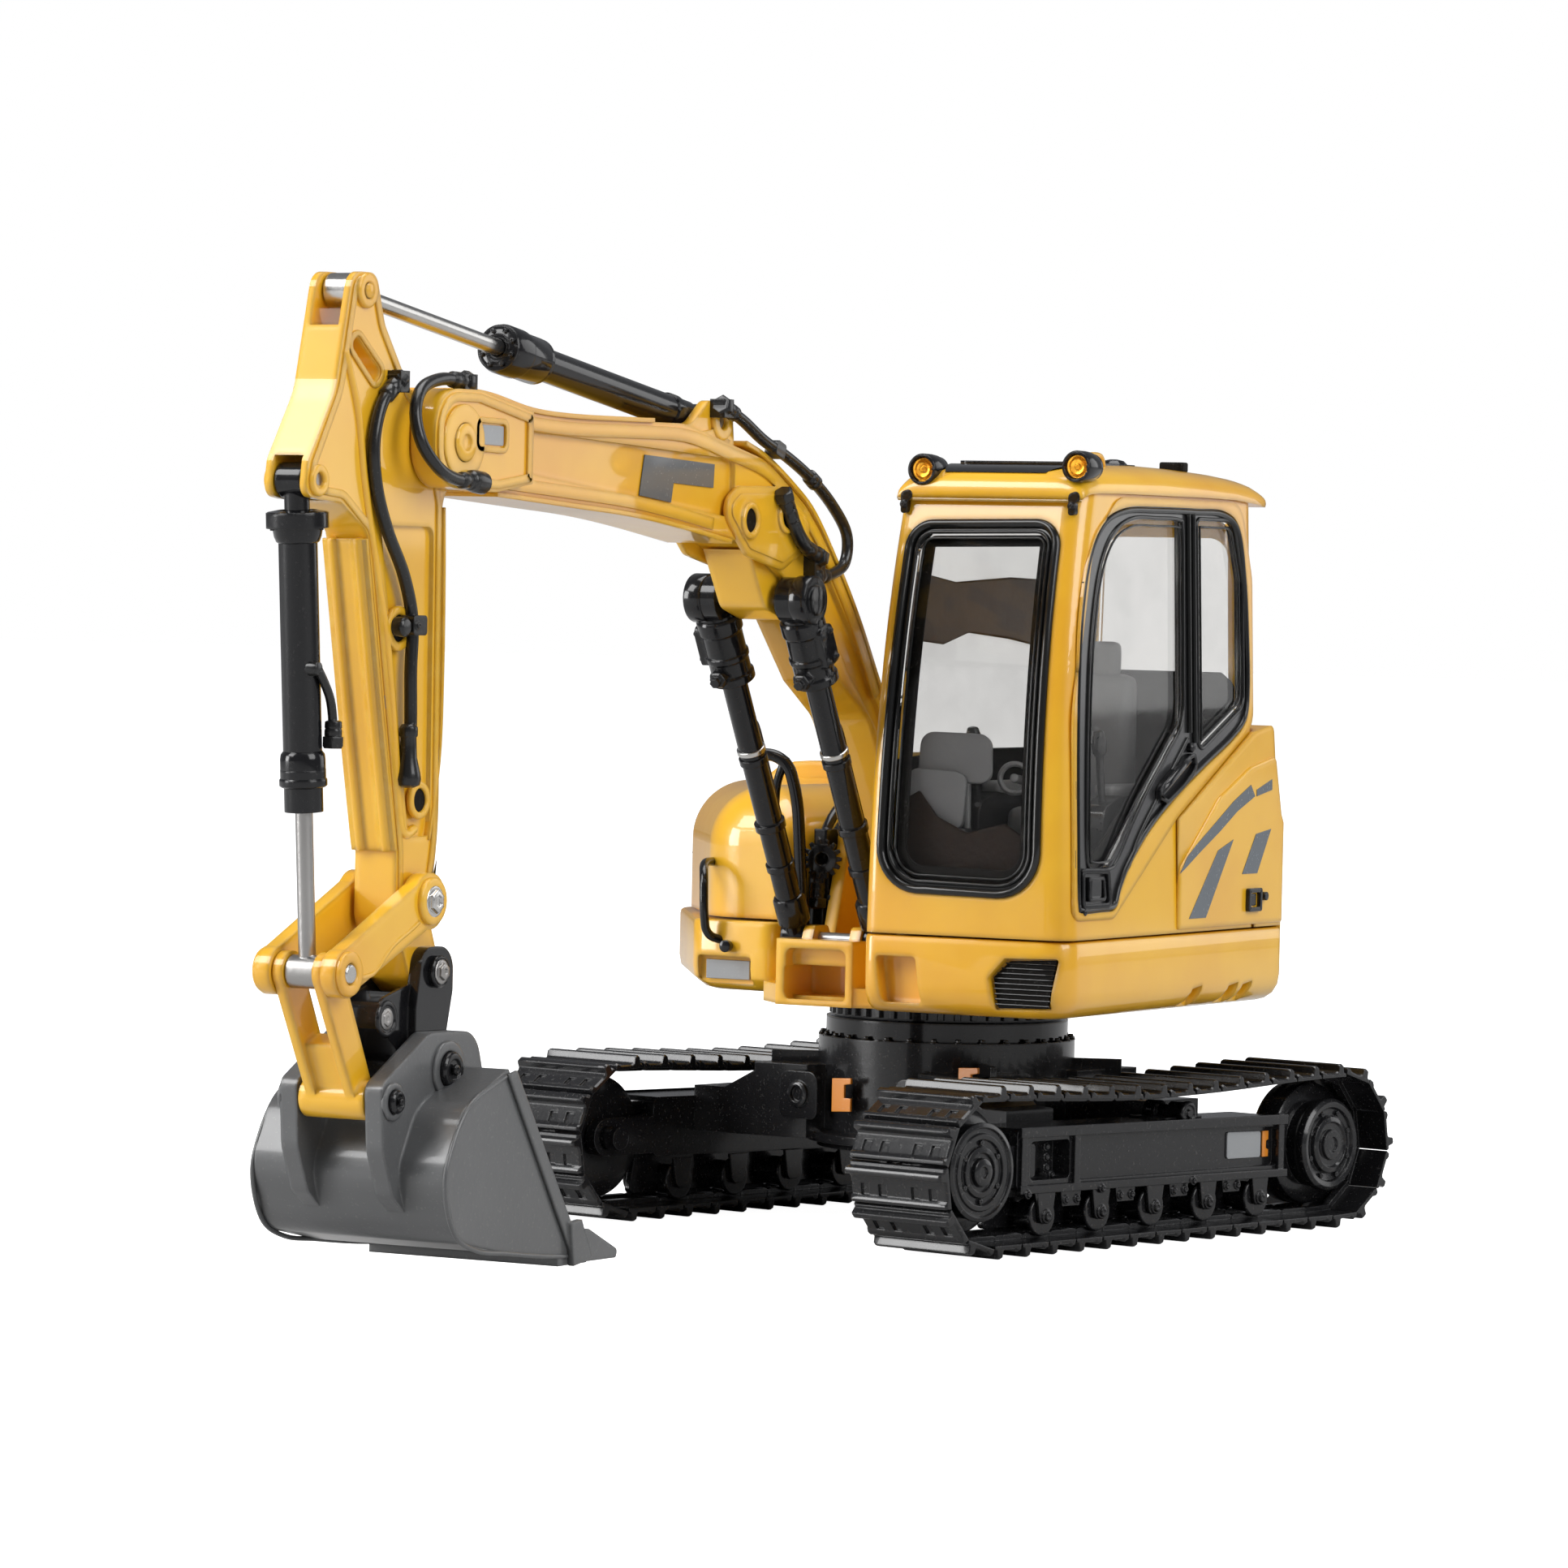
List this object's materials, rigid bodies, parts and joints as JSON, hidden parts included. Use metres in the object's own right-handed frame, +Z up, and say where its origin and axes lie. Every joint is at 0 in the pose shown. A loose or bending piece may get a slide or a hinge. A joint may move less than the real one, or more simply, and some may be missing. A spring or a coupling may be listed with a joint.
{
  "type": "mini excavator scale model",
  "caption": "Die-cast scale model of a mini excavator with a cab, crawler tracks, boom, arm and toothed bucket, slewing on its undercarriage.",
  "frame": {"origin": "on the ground, under the slewing axis", "axes": "+Z up; the boom points along -Y; +X is the cab's side"},
  "size_m": [0.0504, 0.1149, 0.0619],
  "materials": {
    "amber": "gloss",
    "black_paint": "gloss",
    "clear": "clear",
    "dark_paint": "satin",
    "seal": "satin",
    "seat_plastic": "matte",
    "steel": "satin",
    "track_black": "gloss",
    "yellow_paint": "gloss"
  },
  "bodies": {
    "undercarriage": {"track_left": "track_black", "track_right": "track_black", "idler_left": "yellow_paint", "idler_right": "yellow_paint", "sprocket_left": "yellow_paint", "sprocket_right": "yellow_paint", "track_beam_left": "yellow_paint", "track_beam_right": "yellow_paint", "rollers_left": "yellow_paint", "rollers_right": "yellow_paint", "car_body": "yellow_paint", "slewing_ring_lower": "black_paint"},
    "house": {"cab_roof": "yellow_paint", "cab_shell": "yellow_paint", "centre_cover": "yellow_paint", "controls": "seat_plastic", "counterweight": "yellow_paint", "door": "black_paint", "engine_hood": "yellow_paint", "front_grille": "black_paint", "front_window_seal": "seal", "guard_frame": "black_paint", "hood_rail": "black_paint", "house_pins": "steel", "hydraulic_block": "black_paint", "lamp_lenses": "amber", "main_frame": "yellow_paint", "right_hood": "yellow_paint", "seat": "seat_plastic", "side_cover": "yellow_paint", "skirt_left": "yellow_paint", "skirt_right": "yellow_paint", "slewing_ring_upper": "black_paint", "windows": "clear", "work_lamps": "black_paint"},
    "boom": {"boom": "yellow_paint", "boom_pins": "steel", "boom_hoses": "seal"},
    "arm": {"arm": "yellow_paint", "arm_pins": "steel", "coupler": "black_paint", "arm_hoses": "seal"},
    "bucket": {"bucket": "dark_paint", "bucket_pins": "steel"},
    "rocker": {"rocker_plates": "yellow_paint", "rocker_joint_pin": "steel"},
    "link": {"drive_link": "yellow_paint"},
    "boom_barrels": {"boom_cylinder_barrels": "black_paint"},
    "boom_rods": {"boom_cylinder_rods": "steel"},
    "arm_barrel": {"arm_cylinder_barrel": "black_paint"},
    "arm_rod": {"arm_cylinder_rod": "steel"},
    "bucket_barrel": {"bucket_cylinder_barrel": "black_paint"},
    "bucket_rod": {"bucket_cylinder_rod": "steel"}
  },
  "joints": [
    {"name": "slew", "type": "hinge", "parent": "undercarriage", "child": "house", "pos_m": [0, 0, 0.0143], "axis": [0, 0, 1], "continuous": true},
    {"name": "boom_lift", "type": "hinge", "parent": "house", "child": "boom", "pos_m": [0.0006, -0.0095, 0.0265], "axis": [-1, 0, 0], "range_deg": [-20, 40]},
    {"name": "arm_swing", "type": "hinge", "parent": "boom", "child": "arm", "pos_m": [0.0006, -0.0716, 0.0521], "axis": [-1, 0, 0], "range_deg": [-12, 60]},
    {"name": "bucket_curl", "type": "hinge", "parent": "arm", "child": "bucket", "pos_m": [0.0006, -0.0724, 0.0145], "axis": [1, 0, 0], "range_deg": [-20, 60]},
    {"name": "boom_cylinder_turn", "type": "hinge", "parent": "house", "child": "boom_barrels", "pos_m": [0.0006, -0.017, 0.0202], "axis": [-1, 0, 0], "range_deg": [-18.14, 35.78]},
    {"name": "boom_cylinder_stroke", "type": "slide", "parent": "boom_barrels", "child": "boom_rods", "axis": [0, -0.4837, 0.8752], "range_m": [-0.00324, 0.00638]},
    {"name": "arm_cylinder_turn", "type": "hinge", "parent": "boom", "child": "arm_barrel", "pos_m": [0.0006, -0.038, 0.0544], "axis": [-1, 0, 0], "range_deg": [-2.41, 10.06]},
    {"name": "arm_cylinder_stroke", "type": "slide", "parent": "arm_barrel", "child": "arm_rod", "axis": [0, -0.9885, 0.1513], "range_m": [-0.01031, 0.00214]},
    {"name": "rocker_turn", "type": "hinge", "parent": "arm", "child": "rocker", "pos_m": [0.0006, -0.0734, 0.0246], "axis": [1, 0, 0], "range_deg": [-13.32, 38.95]},
    {"name": "link_turn", "type": "hinge", "parent": "rocker", "child": "link", "pos_m": [0.0006, -0.0824, 0.0206], "axis": [1, 0, 0], "range_deg": [-40.57, 13.86]},
    {"name": "bucket_cylinder_turn", "type": "hinge", "parent": "arm", "child": "bucket_barrel", "pos_m": [0.0006, -0.0846, 0.0495], "axis": [1, 0, 0], "range_deg": [-2.54, 6.61]},
    {"name": "bucket_cylinder_stroke", "type": "slide", "parent": "bucket_barrel", "child": "bucket_rod", "axis": [0, 0.0759, -0.9971], "range_m": [-0.00197, 0.00571]}
  ],
  "couplings": [
    {"joint": "boom_cylinder_turn", "follows": "boom_lift", "ratio": 0.882},
    {"joint": "boom_cylinder_stroke", "follows": "boom_lift", "m_per_rad": 0.0089945},
    {"joint": "arm_cylinder_turn", "follows": "arm_swing", "ratio": 0.1593},
    {"joint": "arm_cylinder_stroke", "follows": "arm_swing", "m_per_rad": -0.0097514},
    {"joint": "rocker_turn", "follows": "bucket_curl", "ratio": 0.6408},
    {"joint": "link_turn", "follows": "bucket_curl", "ratio": -0.6679},
    {"joint": "bucket_cylinder_turn", "follows": "bucket_curl", "ratio": 0.1019},
    {"joint": "bucket_cylinder_stroke", "follows": "bucket_curl", "m_per_rad": 0.0053565}
  ]
}
